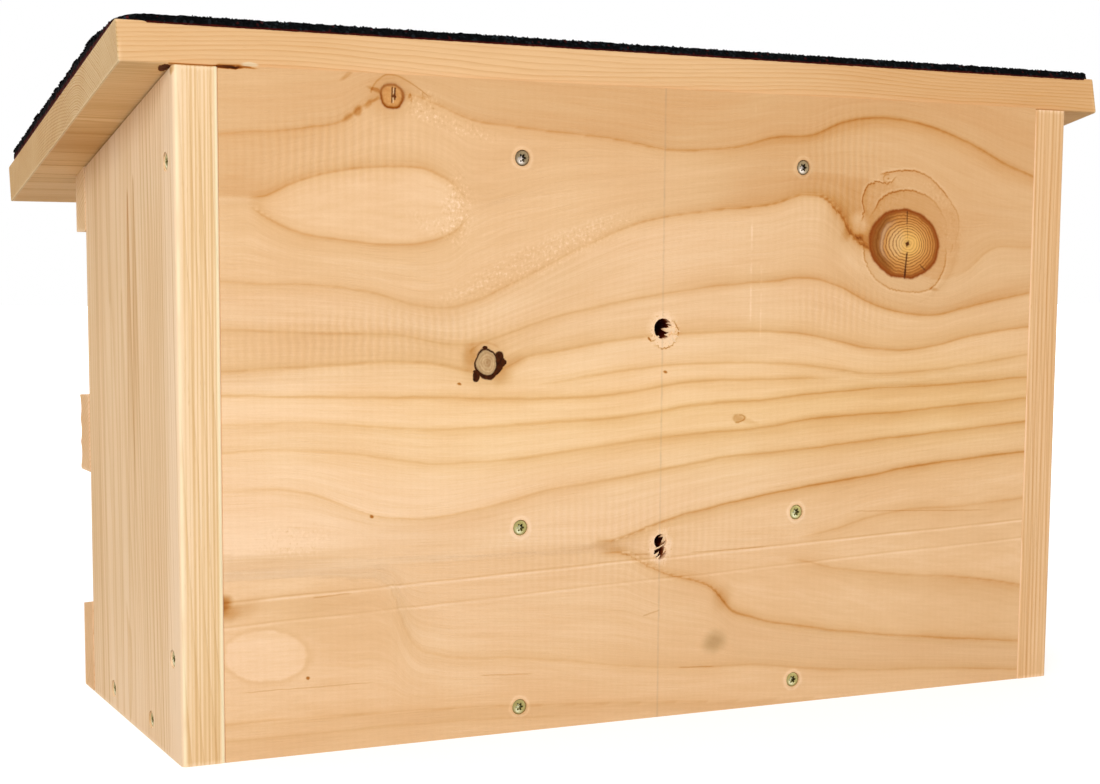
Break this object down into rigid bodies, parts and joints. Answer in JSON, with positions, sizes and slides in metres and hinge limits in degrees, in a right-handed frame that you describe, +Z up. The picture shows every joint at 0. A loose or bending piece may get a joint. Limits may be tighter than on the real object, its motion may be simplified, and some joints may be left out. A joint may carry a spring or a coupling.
{
  "type": "birdhouse",
  "caption": "Terraced nest box of softwood boards with a felted lean-to roof, separate chambers, round entrances, top-hung cleaning doors held by turn buttons, and hanging holes in its back.",
  "frame": {"origin": "middle of the base underside, half-way between the front and back edges of the side boards", "axes": "+X to the box's own left as it faces forward, which is on the right seen from the front and on the left seen from behind; +Y out of the back, towards the wall; +Z up"},
  "size_m": [0.525, 0.2517, 0.3265],
  "materials": {
    "pine_side": "planed, unfinished",
    "pine_back": "planed, unfinished",
    "pine_roof": "planed, unfinished",
    "pine_strip": "planed, unfinished",
    "pine_door": "planed, unfinished",
    "bitumen_felt": "coarse mineral granules",
    "zinc_steel": "bright zinc plated",
    "yellow_zinc": "yellow passivated zinc"
  },
  "bodies": {
    "carcass": {"back_panel": "pine_back", "side_left": "pine_side", "side_right": "pine_side", "floor_board": "pine_side", "partition_left": "pine_side", "partition_right": "pine_side", "roof_board": "pine_roof", "roof_felt": "bitumen_felt", "top_rail": "pine_strip", "bottom_rail": "pine_strip", "back_screws_zinc": "zinc_steel", "back_screws_yellow": "yellow_zinc", "side_screws_left": "yellow_zinc", "side_screws_right": "yellow_zinc", "top_rail_screws": "yellow_zinc", "bottom_rail_screws": "yellow_zinc", "roof_screws": "yellow_zinc", "frame_hinge_leaves": "zinc_steel", "hinge_pins": "zinc_steel", "frame_hinge_screws": "zinc_steel", "button_washers": "zinc_steel", "button_screws": "zinc_steel"},
    "door_left": {"door_left": "pine_door", "ledge_left": "pine_strip", "door_leaves_left": "zinc_steel", "door_leaf_screws_left": "zinc_steel", "ledge_screws_left": "yellow_zinc"},
    "door_middle": {"door_middle": "pine_door", "ledge_middle": "pine_strip", "door_leaves_middle": "zinc_steel", "door_leaf_screws_middle": "zinc_steel", "ledge_screws_middle": "yellow_zinc"},
    "door_right": {"door_right": "pine_door", "ledge_right": "pine_strip", "door_leaves_right": "zinc_steel", "door_leaf_screws_right": "zinc_steel", "ledge_screws_right": "yellow_zinc"},
    "button_left": {"turn_button_left": "zinc_steel"},
    "button_right": {"turn_button_right": "zinc_steel"}
  },
  "joints": [
    {"name": "door_left_hinge", "type": "hinge", "parent": "carcass", "child": "door_left", "pos_m": [0.15333, -0.0888, 0.23324], "axis": [-1, 0, 0], "range_deg": [0, 85]},
    {"name": "door_middle_hinge", "type": "hinge", "parent": "carcass", "child": "door_middle", "pos_m": [0, -0.0888, 0.23324], "axis": [-1, 0, 0], "range_deg": [0, 85]},
    {"name": "door_right_hinge", "type": "hinge", "parent": "carcass", "child": "door_right", "pos_m": [-0.15333, -0.0888, 0.23324], "axis": [-1, 0, 0], "range_deg": [0, 85]},
    {"name": "button_left_turn", "type": "hinge", "parent": "carcass", "child": "button_left", "pos_m": [0.07667, -0.0883, 0.08052], "axis": [0, 1, 0], "range_deg": [-90, 90]},
    {"name": "button_right_turn", "type": "hinge", "parent": "carcass", "child": "button_right", "pos_m": [-0.07667, -0.0883, 0.08052], "axis": [0, 1, 0], "range_deg": [-90, 90]}
  ]
}
